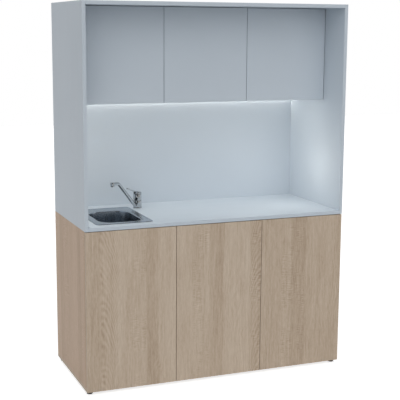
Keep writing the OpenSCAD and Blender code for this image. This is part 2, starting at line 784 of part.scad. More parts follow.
// Fixed column: foot on the worktop, core through the spout ring, upper body, shank below with two inlets
module tap_column() {
  r = tap_d / 2;
  ring_top = tap_foot_h + ring_h;
  inlet_d = 10;
  color(chrome) at_tap() difference() {
    rotate_extrude($fn = fn_big) polygon([[0, -worktop_t - shank_len], [shank_d / 2, -worktop_t - shank_len],
      [shank_d / 2, 0], [tap_foot_d / 2, 0], [tap_foot_d / 2, tap_foot_h - 2], [r, tap_foot_h],
      [core_d / 2, tap_foot_h], [core_d / 2, ring_top], [r - 1, ring_top], [r, ring_top + 1], [r, tap_h - 2],
      [r - 2, tap_h], [0, tap_h]]);
    for (sx = [-1, 1]) translate([sx * 7.5, 0, -worktop_t - shank_len - 1]) cylinder(d = inlet_d, h = 16, $fn = fn_small);
  }
}

module tap_nut() {
  color(steel) at_tap(-worktop_t) {
    translate([0, 0, -4]) tube(54, shank_d, 4);
    translate([0, 0, -14]) difference() {
      cylinder(d = 46, h = 10, $fn = 6);
      translate([0, 0, -1]) cylinder(d = shank_d, h = 12, $fn = fn_big);
    }
  }
}

// Turns to the spout's direction: local +X points along the spout
module along_spout() {
  at_tap() rotate(180 + spout_turn) children();
}

// End of the straight tube and start of the bend, in the spout's own plane
bend_angle = spout_rise - tip_drop;
tube_root = 8;
tube_end = [tap_d / 2 + spout_len * cos(spout_rise), tube_leave_z + spout_len * sin(spout_rise)];
bend_c = [tube_end[0] + bend_r * sin(spout_rise), tube_end[1] - bend_r * cos(spout_rise)];
tip_start = [bend_c[0] - bend_r * sin(tip_drop), bend_c[1] + bend_r * cos(tip_drop)];
tip_end = [tip_start[0] + tip_len * cos(tip_drop), tip_start[1] + tip_len * sin(tip_drop)];

module spout() {
  r = tap_d / 2;
  bore_r = core_d / 2 + fit;
  ring_low = tap_foot_h + near;
  ring_high = tap_foot_h + ring_h - near;
  color(chrome) along_spout() {
    difference() {
      union() {
        rotate_extrude($fn = fn_big) polygon([[0, ring_low], [r - 1, ring_low], [r, ring_low + 1], [r, ring_high - 1],
          [r - 1, ring_high], [0, ring_high]]);
        translate([r, 0, tube_leave_z]) rotate([0, 90 - spout_rise, 0]) translate([0, 0, -tube_root])
          cylinder(d = tube_d, h = spout_len + tube_root, $fn = fn_small);
      }
      translate([0, 0, -1]) cylinder(r = bore_r, h = ring_high + 2, $fn = fn_big);
      translate([-r, -r, -tap_h]) cube([2 * r + tube_d, 2 * r, tap_h + ring_low]);
    }
    translate([bend_c[0], 0, bend_c[1]]) rotate([90, 0, 0]) rotate(90 + tip_drop)
      rotate_extrude(angle = bend_angle, $fn = fn_big) translate([bend_r, 0]) circle(d = tube_d, $fn = fn_small);
    translate([tip_start[0], 0, tip_start[1]]) rotate([0, 90 - tip_drop, 0])
      cylinder(d = tube_d, h = tip_len, $fn = fn_small);
    translate([tip_end[0], 0, tip_end[1] + tube_d / 2 - outlet_h]) cylinder(d = outlet_d, h = outlet_h, $fn = fn_big);
  }
}

// Screwed aerator with two wrench flats
module aerator() {
  color(steel) along_spout() translate([tip_end[0], 0, tip_end[1] + tube_d / 2 - outlet_h - 5]) difference() {
    intersection() {
      cylinder(d = outlet_d - 1, h = 5, $fn = fn_big);
      translate([-outlet_d / 2, -outlet_d / 2 + 1.5, -1]) cube([outlet_d, outlet_d - 3, 7]);
    }
    translate([0, 0, -1]) cylinder(d = outlet_d - 6, h = 4, $fn = fn_small);
  }
}

// Cap that turns with the lever to mix hot and cold. It is slotted for the lever's root
module lever_hub() {
  r = tap_d / 2;
  low = tap_h + near;
  color(chrome) along_spout() difference() {
    translate([0, 0, low]) rotate_extrude($fn = fn_big) polygon(concat([[0, 0], [r - 1, 0], [r, 1], [r, cap_h - 8]],
      arc(r - 8, cap_h - 8, 8, 0, 90), [[0, cap_h]]));
    translate([-4, -lever_slot_w / 2, low + 3]) cube([r + 10, lever_slot_w, cap_h]);
    translate([2, 0, lever_pivot_z]) rotate([90, 0, 0]) cylinder(d = lever_pin_d + 2 * fit, h = tap_d, center = true, $fn = fn_small);
  }
}

// Flat lever on a cross pin: it lifts to open the flow
lever_t = 5;
lever_w = 15;
module lever() {
  root_w = lever_slot_w - 2 * near;
  color(chrome) along_spout() translate([2, 0, lever_pivot_z]) {
    rotate([90, 0, 0]) cylinder(d = lever_pin_d, h = tap_d - 12, center = true, $fn = fn_small);
    rotate([0, -lever_rise, 0]) {
      translate([0, -root_w / 2, -2]) cube([tap_d / 2 + 6, root_w, lever_t + 2]);
      translate([tap_d / 2 + 4, 0, 0]) linear_extrude(lever_t) {
        translate([0, -lever_w / 2]) square([lever_len - tap_d / 2 - 4 - lever_w / 2, lever_w]);
        translate([lever_len - tap_d / 2 - 4 - lever_w / 2, 0]) circle(d = lever_w, $fn = fn_small);
      }
    }
  }
}

// ---------------------------------------------------------------- feet

module foot_sockets() {
  color(black) for (s = foot_spots) translate([foot_x(s[0]), foot_y(s[1]), base_z])
    tube(socket_d, stem_d + 2 * fit, board_t - 0.5);
}

module foot(sx, sy) {
  r = foot_d / 2;
  color(black) translate([foot_x(sx), foot_y(sy), 0]) {
    rotate_extrude($fn = fn_big) polygon([[0, 0], [r - 2, 0], [r, 2], [r, foot_h - 5], [r - 2, foot_h - near],
      [0, foot_h - near]]);
    cylinder(d = stem_d, h = foot_h + foot_travel + stem_grip, $fn = fn_small);
  }
}

// ---------------------------------------------------------------- nodes

base_bottom();
base_side(-1);  // base_side_left
base_side(1);  // base_side_right
base_divider(-1);  // base_divider_left
base_divider(1);  // base_divider_right
base_back();
base_rails();
base_shelves();
shelf_pins();
back_screws();
worktop();
upper_side(-1);  // upper_side_left
upper_side(1);  // upper_side_right
top_panel();
niche_back();
wall_bottom();
wall_divider(-1);  // wall_divider_left
wall_divider(1);  // wall_divider_right
wall_shelves();
led_profile();
led_strip();
led_diffuser();
base_door(0);  // base_door_left
base_door(1);  // base_door_middle
base_door(2);  // base_door_right
base_fittings(0);  // base_fittings_left
base_fittings(1);  // base_fittings_middle
base_fittings(2);  // base_fittings_right
wall_door(0);  // wall_door_left
wall_door(1);  // wall_door_middle
wall_door(2);  // wall_door_right
wall_fittings(0);  // wall_fittings_left
wall_fittings(1);  // wall_fittings_middle
wall_fittings(2);  // wall_fittings_right
hinge_arms();
door_buffers();
latch_housings();
plunger(0);  // plunger_left
plunger(1);  // plunger_middle
plunger(2);  // plunger_right
sink();
sink_seal();
sink_clips();
waste_body();
strainer();
overflow_pipe();
trap_body();
trap_nuts();
waste_pipe();
tap_column();
tap_nut();
spout();
aerator();
lever_hub();
lever();
foot_sockets();
foot(-1, -1);  // foot_front_left
foot(1, -1);  // foot_front_right
foot(-1, 1);  // foot_back_left
foot(1, 1);  // foot_back_right
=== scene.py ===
# %% [markdown]
# # A kitchenette unit with a sink and a lit niche
# The unit is a wood-decor base cabinet, a white upper frame and a pressed sink with a lever tap.
# The imported solids come in as a fixed frame. This script gives each of them a finish, and makes
# again, with rounder forms, the pieces that a person sees or touches most. Everything is in metres,
# in a frame that starts on the floor under the middle of the unit: X right, Y back, Z up.

# %% Load the imported unit
import json
import math
import bmesh
import bpy
from mathutils import Matrix, Vector


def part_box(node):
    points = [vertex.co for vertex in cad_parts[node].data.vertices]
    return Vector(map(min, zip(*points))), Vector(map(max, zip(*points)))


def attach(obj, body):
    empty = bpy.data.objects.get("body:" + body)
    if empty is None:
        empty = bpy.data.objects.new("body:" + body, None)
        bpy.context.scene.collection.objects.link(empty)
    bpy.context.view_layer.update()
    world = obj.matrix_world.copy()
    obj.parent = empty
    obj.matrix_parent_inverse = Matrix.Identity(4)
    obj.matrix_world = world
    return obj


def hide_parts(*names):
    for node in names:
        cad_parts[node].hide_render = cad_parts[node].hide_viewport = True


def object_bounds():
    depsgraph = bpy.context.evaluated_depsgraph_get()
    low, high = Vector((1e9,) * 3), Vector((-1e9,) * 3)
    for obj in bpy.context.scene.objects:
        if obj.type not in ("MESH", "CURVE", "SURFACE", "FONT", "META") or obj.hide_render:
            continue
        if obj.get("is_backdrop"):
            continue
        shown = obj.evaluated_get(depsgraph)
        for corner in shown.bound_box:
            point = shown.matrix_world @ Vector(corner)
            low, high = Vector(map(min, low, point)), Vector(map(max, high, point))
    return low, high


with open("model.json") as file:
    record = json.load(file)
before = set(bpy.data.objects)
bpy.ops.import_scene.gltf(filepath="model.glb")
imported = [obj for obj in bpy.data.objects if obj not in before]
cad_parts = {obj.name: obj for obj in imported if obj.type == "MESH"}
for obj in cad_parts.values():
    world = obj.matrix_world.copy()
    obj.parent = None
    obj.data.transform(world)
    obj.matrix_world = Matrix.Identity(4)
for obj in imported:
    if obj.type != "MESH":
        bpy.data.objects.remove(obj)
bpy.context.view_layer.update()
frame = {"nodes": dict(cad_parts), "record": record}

record = frame["record"]
body_of = {node: body for body, nodes in record["behaviour"]["bodies"].items() for node in nodes}
slot_of = {part["node"]: part["material_slot"] for part in record["subparts"]}
MM = 0.001

# %% [markdown]
# ## A short way to write materials
# A finish is a sum of many small effects: grain, pores, wear, fingermarks. In the node editor each
# plus and times is a box with two wires. Here a small class wraps a socket, so that the same sum
# is written as ordinary arithmetic, and each sign adds its own Math node.

# %% Sockets that can be added and multiplied
class Flow:
    """A value that runs through a shader's nodes."""

    def __init__(self, wiring, socket):
        self.wiring = wiring
        self.socket = socket

    def maths(self, kind, *values):
        return self.wiring.node("ShaderNodeMath", {"operation": kind}, dict(enumerate(values)))

    def __add__(self, other):
        return self.maths("ADD", self, other)

    __radd__ = __add__

    def __sub__(self, other):
        return self.maths("SUBTRACT", self, other)

    def __rsub__(self, other):
        return self.maths("SUBTRACT", other, self)

    def __mul__(self, other):
        return self.maths("MULTIPLY", self, other)

    __rmul__ = __mul__

    def __truediv__(self, other):
        return self.maths("DIVIDE", self, other)

    def __rtruediv__(self, other):
        return self.maths("DIVIDE", other, self)

    def wave(self):
        return self.maths("SINE", self * math.tau)

    def ranged(self, low, high, start=0.0, end=1.0, curve="SMOOTHSTEP"):
        """Runs from start to end while the value runs from low to high, and stays there outside."""
        settings = {"interpolation_type": curve}
        sockets = {0: self, 1: low, 2: high, 3: start, 4: end}
        return self.wiring.node("ShaderNodeMapRange", settings, sockets)


# %% [markdown]
# The nodes need an owner. One method makes them all: it takes the node's type, its settings and
# what goes into its sockets, be it a number, a colour or another node's output. The same owner
# serves the unit's finishes, the floor and the world.

# %% The nodes round one shader
class Wiring:
    """The nodes of one material, or of the world, round its own shader."""

    def __init__(self, owner, shader="Principled BSDF"):
        owner.use_nodes = True
        self.tree = owner.node_tree
        self.shader = self.tree.nodes[shader]

    def node(self, kind, settings=None, sockets=None, out=0):
        made = self.tree.nodes.new(kind)
        for name, value in (settings or {}).items():
            if name == "stops":
                self.stops(made.color_ramp, value)
            else:
                setattr(made, name, value)
        for key, value in (sockets or {}).items():
            self.join(value, made.inputs[key])
        return Flow(self, made.outputs[out])

    def stops(self, ramp, stops):
        """Gives a ramp its (position, colour) pairs; a plain number is a grey."""
        while len(ramp.elements) < len(stops):
            ramp.elements.new(1.0)
        for element, (position, colour) in zip(ramp.elements, stops):
            element.position = position
            element.color = colour if isinstance(colour, tuple) else (colour,) * 3 + (1.0,)

    def join(self, value, socket):
        if isinstance(value, Flow):
            self.tree.links.new(value.socket, socket)
        else:
            socket.default_value = value

    def look(self, **inputs):
        """Sets the shader's own sockets: look(Base_Color=..., Roughness=...)."""
        for name, value in inputs.items():
            self.join(value, self.shader.inputs[name.replace("_", " ")])
        return self


# %% [markdown]
# A finish is the wiring of one material of the unit. Its patterns read Object coordinates, which
# for these pieces are metres in the unit's own frame, so a noise scale is a count of spots per
# metre, and a pattern runs on from one piece to the next.

# %% One finish is one material
def paint(red, green, blue):
    """A colour as a screen shows it, turned into the linear light that the renderer works in."""
    linear = [((c + 0.055) / 1.055) ** 2.4 if c > 0.04 else c / 12.92 for c in (red, green, blue)]
    return (*linear, 1.0)


class Finish(Wiring):
    def __init__(self, name, metal=0.0):
        self.material = bpy.data.materials.new(name)
        super().__init__(self.material)
        self.look(Metallic=metal)
        self.place = self.node("ShaderNodeTexCoord", out="Object")

    def along(self):
        """The place on the piece as three numbers."""
        split = self.node("ShaderNodeSeparateXYZ", None, {0: self.place})
        return [Flow(self, s) for s in split.socket.node.outputs]

    def noise(self, per_metre, detail=3.0, rough=0.5, bend=0.0):
        """Soft spots, so many per metre along X, Y and Z."""
        scaled = self.node("ShaderNodeMapping", None, {"Vector": self.place, "Scale": per_metre})
        return self.node("ShaderNodeTexNoise", None, {
            "Vector": scaled, "Scale": 1.0, "Detail": detail, "Roughness": rough,
            "Distortion": bend})

    def mix(self, kind, amount, first, second):
        settings = {"data_type": "RGBA", "blend_type": kind}
        return self.node("ShaderNodeMix", settings, {0: amount, 6: first, 7: second}, out=2)

    def ramp(self, value, stops):
        return self.node("ShaderNodeValToRGB", {"stops": stops}, {0: value})

    def relief(self, height, depth):
        """Bumps of that depth in metres."""
        sockets = {"Height": height, "Strength": 1.0, "Distance": depth}
        return self.look(Normal=self.node("ShaderNodeBump", None, sockets))


finishes = {}
print("ready to write finishes")

# %% [markdown]
# ## Wood decor
# The doors and the base's sides are chipboard under a printed and embossed decor film. The print
# shows upright planks of different tone, each with straight streaks, fine pores and, on some,
# arched figure or rough saw marks. The pattern is built up in that order. An image would be the
# usual way; a pattern of noise needs no picture and stays sharp however near the camera comes.
# The planks are laid out across the whole width, so they run on from door to door, as they do when
# the fronts are cut side by side from one board.

# %% Planks of the decor
# Millimetres across the decor where each plank starts, and its tone from -1 (dark) to 1 (light).
PLANKS = ((0, -0.15), (60, -0.15), (90, 0.2), (150, 0.85), (235, 0.6), (330, -0.35), (400, 0.9),
          (500, 0.75), (590, 0.5), (690, -0.25), (775, 1.0), (930, -0.25), (1000, 0.05),
          (1185, -0.85), (1278, -0.05), (1380, -0.05))
ARCHED = ((75, 205), (925, 1000))
SAWN = ((235, 330), (590, 690), (930, 1000), (1130, 1270))
DECOR_W = 1500
JOINT = 2
FADE_OUT, FADE_IN = 4, 8


def plank_tones():
    """Ramp stops for the planks' tones, with narrow soft joints between neighbours."""
    stops = []
    for (start, tone), (end, _) in zip(PLANKS, PLANKS[1:] + ((DECOR_W, 0),)):
        grey = 0.5 + tone / 2
        stops += [((start + JOINT) / DECOR_W, grey), ((end - JOINT) / DECOR_W, grey)]
    return stops


def bands(spans):
    """Ramp stops that are 1 inside the spans and 0 outside."""
    stops = [(0.0, 0.0)]
    for start, end in spans:
        edges = (start - FADE_OUT, start + FADE_IN, end - FADE_IN, end + FADE_OUT)
        stops += [(edge / DECOR_W, level) for edge, level in zip(edges, (0.0, 1.0, 1.0, 0.0))]
    return stops


print("planks", len(PLANKS), "from", [start for start, _ in PLANKS])

# %% [markdown]
# Arched figure shows where a plank was cut through the side of its year rings. A ring is a wave of
# the height, pulled up by the square of the distance from the arch's middle line, and a little
# noise keeps it from looking drawn. A weaker wave across the plank gives the curl beside it.

# %% Figure of single planks
# Metres from the unit's middle to the middle line of each arch, on the fronts and on the sides.
ARCH_MIDDLES = ((-0.665, 0.25), (-0.665, 0.06))
ARCH_STEEPNESS, RINGS_PER_METRE, RING_SWAY = 730, 22.0, 5.0
CURLS_PER_METRE, CURL_SWAY = 60.0, 9.0


def grain(f, side, run, **options):
    """Noise with so many spots per metre across the planks and along them."""
    return f.noise((side, side, run), **options)


def figure(f, u, z, spot, middles):
    """Arches on the planks that have them, and a weak curl here and there."""
    sway = grain(f, 7.0, 3.0, detail=3.0, bend=0.4)
    here = grain(f, 9.0, 4.5, detail=2.0).ranged(0.36, 0.62) * 0.75 + 0.25

    def arches(middle, span):
        away = u - middle
        climb = away * away * ARCH_STEEPNESS + z * RINGS_PER_METRE + sway * RING_SWAY
        return climb.wave() * (f.ramp(spot, bands([span])) * here)

    rings = arches(middles[0], ARCHED[0]) + arches(middles[1], ARCHED[1])
    curled = grain(f, 8.0, 2.0, detail=2.0).ranged(0.5, 0.7)
    curl = (u * CURLS_PER_METRE + sway * CURL_SWAY).wave() * curled
    return rings * 0.125 + curl * 0.07


# %% [markdown]
# The layers meet in one number, the tone, which a ramp turns into browns. Each layer's weight says
# how far it moves the tone. The pores come last, because they are ink of their own. The relief
# reuses the same layers, so that the emboss lies exactly on the print, as it does on a good film.

# %% Colours and depth of the decor
BROWNS = [(0.0, paint(0.56, 0.475, 0.395)), (0.3, paint(0.68, 0.605, 0.525)),
          (0.55, paint(0.745, 0.677, 0.602)), (0.8, paint(0.79, 0.73, 0.66)),
          (1.0, paint(0.83, 0.78, 0.72))]
PORE_INK = paint(0.66, 0.58, 0.50)
# Painted shade: a darker, warmer tint for the side panels' copy of the decor.
SIDE_PAINTED_SHADE = paint(0.974, 0.922, 0.882)
WANDER = 0.030
DECOR_START = (0.5, 0.37)
DECOR_EMBOSS = 0.00028
print("browns", len(BROWNS))

# %% Fronts and side panels in wood decor
def oak(name, across):
    """Upright planks. across is the axis that crosses them: 0 on fronts, 1 on side panels in painted
    shade.
    """
    f = Finish(name)
    x, y, z = f.along()
    u = (x, y)[across]
    wander = (grain(f, 5.0, 2.6, detail=3.0) - 0.5) * WANDER
    spot = (u + wander) / (DECOR_W * MM) + DECOR_START[across]
    planks = f.ramp(spot, plank_tones()) - 0.5
    streaks = grain(f, 120.0, 6.5, detail=4.0, rough=0.62) - 0.5
    broad = grain(f, 26.0, 2.2, detail=3.0) - 0.5
    fine = grain(f, 520.0, 16.0, detail=3.0, rough=0.7) - 0.5
    flecks = grain(f, 170.0, 30.0, detail=4.0, rough=0.7) - 0.5
    rough_spots = grain(f, 9.0, 5.0, detail=2.0).ranged(0.40, 0.60)
    saw_lines = grain(f, 22.0, 330.0, detail=3.0, rough=0.7) - 0.5
    marks = saw_lines * (rough_spots * f.ramp(spot, bands(SAWN)))
    pores = grain(f, 900.0, 22.0, detail=2.0).ranged(0.60, 0.74)
    tone = planks * 0.27 + streaks * 0.55 + broad * 0.30 + fine * 0.34 + flecks * 0.62
    tone = tone + figure(f, u, z, spot, ARCH_MIDDLES[across]) + marks * 1.6 + 0.5
    colour = f.mix("MULTIPLY", pores * 0.30, f.ramp(tone, BROWNS), PORE_INK)
    # The side panels' copy is made darker and warmer: a painted shade.
    if across == 1:
        colour = f.mix("MULTIPLY", 1.0, colour, SIDE_PAINTED_SHADE)
    gloss = 0.52 + pores * 0.14 - fine * 0.08
    f.look(Base_Color=colour, Roughness=gloss, Specular_IOR_Level=0.35)
    return f.relief(fine * 0.4 - pores * 0.8 + marks * 0.8 + streaks * 0.5, DECOR_EMBOSS)


finishes["oak_front"] = oak("oak_front", 0)
finishes["oak_side_shaded"] = oak("oak_side_shaded", 1)
print("wood decor written")

# %% [markdown]
# ## White boards and worktop
# The upper frame is white melamine with a slight blue cast and a fine pearl emboss. The worktop is
# the same white in a tougher laminate, a touch smoother, with faint wiping marks. Both need almost
# no colour change: what tells them from bare plastic is the emboss and the uneven gloss.

# %% White melamine and worktop laminate
BOARD_WHITE = paint(0.752, 0.79, 0.826)
WORKTOP_WHITE = paint(0.757, 0.797, 0.833)
CLOUD_SHADE, PEARL_SHADE = paint(0.80, 0.82, 0.85), paint(0.80, 0.81, 0.83)
PEARL_EMBOSS = 0.0001


def melamine(name, colour, pearls, gloss):
    """pearls is the count of the emboss's bumps per metre."""
    f = Finish(name)
    pearl = f.noise((pearls, pearls, pearls), detail=2.0, rough=0.6)
    clouds = f.noise((3.0, 3.0, 3.0), detail=3.0)
    wiped = f.noise((7.0, 26.0, 7.0), detail=4.0, rough=0.6, bend=0.6)
    shade = f.mix("MULTIPLY", clouds.ranged(0.3, 0.8) * 0.05, colour, CLOUD_SHADE)
    shade = f.mix("MULTIPLY", pearl.ranged(0.35, 0.65) * 0.06, shade, PEARL_SHADE)
    uneven = gloss + wiped * 0.16 - pearl * 0.05
    f.look(Base_Color=shade, Roughness=uneven, Specular_IOR_Level=0.3)
    return f.relief(pearl, PEARL_EMBOSS)


finishes["white_board"] = melamine("white_board", BOARD_WHITE, 700.0, 0.40)
finishes["worktop_white"] = melamine("worktop_white", WORKTOP_WHITE, 1100.0, 0.34)
print("white boards written")

# %% [markdown]
# ## Metals
# The sink is satin steel, brushed lengthways before it was pressed. The tap is chromed brass: a
# mirror whose gloss is broken only by water marks and fingers. Hinges, pins and screws are nickel
# plated and duller. What tells one metal from another is mostly how uneven its gloss is, so the
# roughness does most of the work.

# %% Steel, chrome, nickel and anodised aluminium
STROKE_SHADE, DROP_SHADE = paint(0.80, 0.81, 0.83), paint(0.86, 0.87, 0.88)
SMEAR_RELIEF = 0.00001


def brushed(name, colour, stroke, gloss, depth):
    """A metal with fine strokes; stroke is the count of spots per metre along X, Y and Z."""
    f = Finish(name, metal=1.0)
    strokes = f.noise(stroke, detail=4.0, rough=0.65)
    smears = f.noise((14.0, 14.0, 14.0), detail=3.0, bend=0.5)
    shade = f.mix("MULTIPLY", strokes * 0.3, colour, STROKE_SHADE)
    f.look(Base_Color=shade, Roughness=gloss + (strokes - 0.5) * 0.16 + (smears - 0.5) * 0.12)
    return f.relief(strokes, depth)


def polished(name, colour, gloss):
    """A mirror with dried drops and smears."""
    f = Finish(name, metal=1.0)
    drops = f.noise((220.0, 220.0, 220.0), detail=2.0).ranged(0.62, 0.75)
    smears = f.noise((45.0, 45.0, 45.0), detail=4.0, bend=0.8)
    shade = f.mix("MULTIPLY", drops * 0.12, colour, DROP_SHADE)
    f.look(Base_Color=shade, Roughness=gloss + smears.ranged(0.45, 0.8) * 0.07 + drops * 0.05)
    return f.relief(smears, SMEAR_RELIEF)


for name, colour, stroke, gloss, depth in (
        ("sink_steel", paint(0.735, 0.76, 0.785), (25.0, 900.0, 120.0), 0.22, 0.000004),
        ("nickel_steel", paint(0.86, 0.855, 0.84), (700.0, 700.0, 700.0), 0.34, 0.000005),
        ("anodised", paint(0.76, 0.77, 0.78), (20.0, 1200.0, 1200.0), 0.38, 0.00001)):
    finishes[name] = brushed(name, colour, stroke, gloss, depth)
finishes["chrome"] = polished("chrome", paint(0.77, 0.78, 0.785), 0.05)
print("metals written")

# %% [markdown]
# ## Plastics, rubber and the lamp
# Moulded plastic has a fine spark-eroded grain. The black feet and the seal differ from the light
# latches and pipes only in colour and grain size. The lamp's opal cover glows by itself, a little
# brighter over each diode, and the board behind it is seen only when the cover is taken off.

# %% Moulded plastics
PLASTIC_GRAIN = 0.00003
DUST = paint(0.5, 0.5, 0.5)


def moulded(name, colour, grains, gloss):
    """grains is the count of the grain's spots per metre."""
    f = Finish(name)
    texture = f.noise((grains, grains, grains), detail=3.0, rough=0.6)
    dust = f.noise((30.0, 30.0, 18.0), detail=4.0)
    shade = f.mix("SCREEN", dust.ranged(0.5, 0.85) * 0.10, colour, DUST)
    f.look(Base_Color=shade, Roughness=gloss + (dust - 0.5) * 0.15)
    return f.relief(texture, PLASTIC_GRAIN)


for name, colour, grains, gloss in (
        ("foot_plastic", paint(0.06, 0.06, 0.065), 900.0, 0.5),
        ("seal_rubber", paint(0.13, 0.13, 0.135), 500.0, 0.75),
        ("latch_plastic", paint(0.84, 0.84, 0.83), 1100.0, 0.42),
        ("pipe_plastic", paint(0.86, 0.86, 0.84), 600.0, 0.38),
        ("led_board", paint(0.90, 0.90, 0.87), 300.0, 0.45)):
    finishes[name] = moulded(name, colour, grains, gloss)

# %% The lamp's glowing cover
DIODES_PER_METRE = 30.0
OPAL_SHADE, BETWEEN_DIODES = paint(0.9, 0.9, 0.9), paint(0.6, 0.62, 0.7)
OPAL_GRAIN = 0.00002


def glowing(name, colour, strength):
    """An opal cover that is brighter over each diode."""
    f = Finish(name)
    diodes = (f.along()[0] * DIODES_PER_METRE).wave() * 0.06 + 0.94
    haze = f.noise((60.0, 200.0, 200.0), detail=2.0)
    shade = f.mix("MULTIPLY", haze * 0.1, colour, OPAL_SHADE)
    glow = f.mix("MULTIPLY", 1.0 - diodes, colour, BETWEEN_DIODES)
    f.look(Base_Color=shade, Roughness=0.35 + haze * 0.1)
    f.look(Emission_Color=glow, Emission_Strength=strength)
    return f.relief(haze, OPAL_GRAIN)


finishes["led_opal"] = glowing("led_opal", paint(0.95, 0.98, 1.0), 1.0)
print("finishes", len(finishes))

# %% [markdown]
# ## Dressing the solids
# Every solid keeps its place and its mesh and gets the finish of its slot. The one slot that needs
# two finishes is the decor: planks run up the fronts, which face forwards, and up the side panels,
# which face sideways, so each has the pattern laid across its own width. The side panels' finish
# is also darker and warmer, a painted shade.

# %% Give every imported solid its finish
def finish_for(node):
    name = slot_of[node]
    if name == "oak_decor":
        name = "oak_side_shaded" if "side" in node else "oak_front"
    return finishes[name].material


for node, item in frame["nodes"].items():
    item.data.materials.clear()
    item.data.materials.append(finish_for(node))
print("dressed", len(frame["nodes"]))

# %% [markdown]
# ## How a new piece enters the unit
# Each new piece is drawn in a bmesh, in metres, where it stands in the unit. It then needs four
# things: shading that is smooth on curves and crisp at edges, a finish, the body that it moves
# with, and the hiding of the solid that it stands for.

# %% Turn a bmesh into a piece of the unit
def piece(name, mesh, node, smooth=40.0):
    """smooth is the angle in degrees up to which two faces are shaded as one curve."""
    data = bpy.data.meshes.new(name)
    mesh.to_mesh(data)
    mesh.free()
    data.shade_smooth()
    data.set_sharp_from_angle(angle=math.radians(smooth))
    data.materials.append(finish_for(node))
    item = bpy.data.objects.new(name, data)
    bpy.context.scene.collection.objects.link(item)
    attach(item, body_of[node])
    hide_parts(node)
    return item


def flatten(item):
    """Lets the large flat faces lead the shading, so that only the narrow roundings look round."""
    leading = item.modifiers.new("flat_faces", "WEIGHTED_NORMAL")
    leading.keep_sharp = True


# %% [markdown]
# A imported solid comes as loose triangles. Before it can be worked on, its copy has to be merged,
# and the triangles of each flat face joined, or the bevel would also round the lines inside them.

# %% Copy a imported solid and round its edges
SAME_POINT = 0.000001
FLAT_ANGLE = math.radians(0.5)


def clean_copy(node):
    """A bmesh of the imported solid, with whole faces in place of its triangles."""
    mesh = bmesh.new()
    mesh.from_mesh(frame["nodes"][node].data)
    bmesh.ops.remove_doubles(mesh, verts=mesh.verts[:], dist=SAME_POINT)
    bmesh.ops.dissolve_limit(mesh, angle_limit=FLAT_ANGLE, verts=mesh.verts[:],
                             edges=mesh.edges[:])
    return mesh


def round_over(mesh, edges, width, segments, clamp=True):
    """Bevels edges; clamp keeps neighbouring bevels from running into each other."""
    bmesh.ops.bevel(mesh, geom=edges, offset=width, offset_type="OFFSET", affect="EDGES",
                    segments=segments, profile=0.5, material=-1, clamp_overlap=clamp)


# %% [markdown]
# ## Boards with softened edges
# A real board's edge band is scraped round after gluing, and that thin rounding is what catches
# the light along a door. Drawing each board again would lose its hinge pockets and pin holes, so
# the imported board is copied, and only the long outer edges are bevelled: those whose two ends lie
# on the same two sides of the board's box.

# %% Bevel the outer edges of the visible boards
ON_THE_BOX = 0.00001


def soften(node, width):
    low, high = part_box(node)
    mesh = clean_copy(node)

    def sides(point):
        return {(axis, side) for axis in range(3) for side, limit in enumerate((low, high))
                if abs(point[axis] - limit[axis]) < ON_THE_BOX}

    outer = [e for e in mesh.edges
             if len(sides(e.verts[0].co) & sides(e.verts[1].co)) >= 2]
    round_over(mesh, outer, width, 3)
    flatten(piece(node + "_board", mesh, node))


# Millimetres of rounding for each board.
boards = {"worktop": 1.2, "top_panel": 0.8, "wall_bottom": 0.8, "base_bottom": 0.8,
          "niche_back": 0.5}
boards.update({"base_side_" + s: 1.0 for s in ("left", "right")})
boards.update({"upper_side_" + s: 1.0 for s in ("left", "right")})
boards.update({row + "_door_" + s: 0.6
               for row in ("base", "wall") for s in ("left", "middle", "right")})
for node, width in boards.items():
    soften(node, width * MM)
print("softened boards", len(boards))

# %% [markdown]
# ## Mouth of the overflow pipe
# Behind the bowl's drilled holes a pipe leads down to the waste. The imported pipe ends there in a
# blank face, which would shine through the holes. The end is inset and pushed in, and the pocket
# is given a dark material as painted shade, for the inside of a real pipe lies in its own shadow.

# %% Open the pipe behind the holes
PIPE_WALL, MOUTH_DEPTH, TOP_BAND = 2.2, 14, 20
FACES_BOWL = -0.95
# The slot of the pocket's dark material, which paints the shade inside the pipe.
PAINTED_SHADE_SLOT = 1


def open_mouth(mesh):
    """Turns the blank upper end, which faces the bowl, into a pocket in the second material, a
    painted shade.
    """
    top = max(v.co.z for v in mesh.verts)
    ends = [f for f in mesh.faces
            if f.normal.y < FACES_BOWL and f.calc_center_median().z > top - TOP_BAND * MM]
    end = max(ends, key=lambda f: f.calc_area())
    print("mouth", [round(c, 4) for c in end.calc_center_median()],
          "area", round(end.calc_area() * 1e6))
    wall = bmesh.ops.inset_region(mesh, faces=[end], thickness=PIPE_WALL * MM,
                                  use_even_offset=True, use_boundary=True)["faces"]
    bmesh.ops.translate(mesh, verts=end.verts[:], vec=(0, MOUTH_DEPTH * MM, 0))
    for face in [end] + wall:
        face.material_index = PAINTED_SHADE_SLOT


# %% [markdown]
# ## Hinge plates and their screws
# A concealed hinge's arm sits on a pressed plate with rounded corners. Two screws hold the plate to
# the panel, one clamps the arm and a smaller one sets the door's gap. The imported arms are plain
# blocks, so each gets its plate's corners rounded, and its four screws, before the edges are
# bevelled.

# %% Find the single hinges and make a screw head
def islands(mesh):
    """The separate solids of a bmesh, each as its list of vertices."""
    found, seen = [], set()
    for first in mesh.verts:
        if first in seen:
            continue
        group = [first]
        seen.add(first)
        for vert in group:
            near = [e.other_vert(vert) for e in vert.link_edges]
            fresh = [v for v in near if v not in seen]
            seen.update(fresh)
            group += fresh
        found.append(group)
    return found


# Parts of the head's radius, radius and height.
HEAD_TOP, RECESS_INSET, RECESS_DEPTH = 0.86, 0.45, 0.5


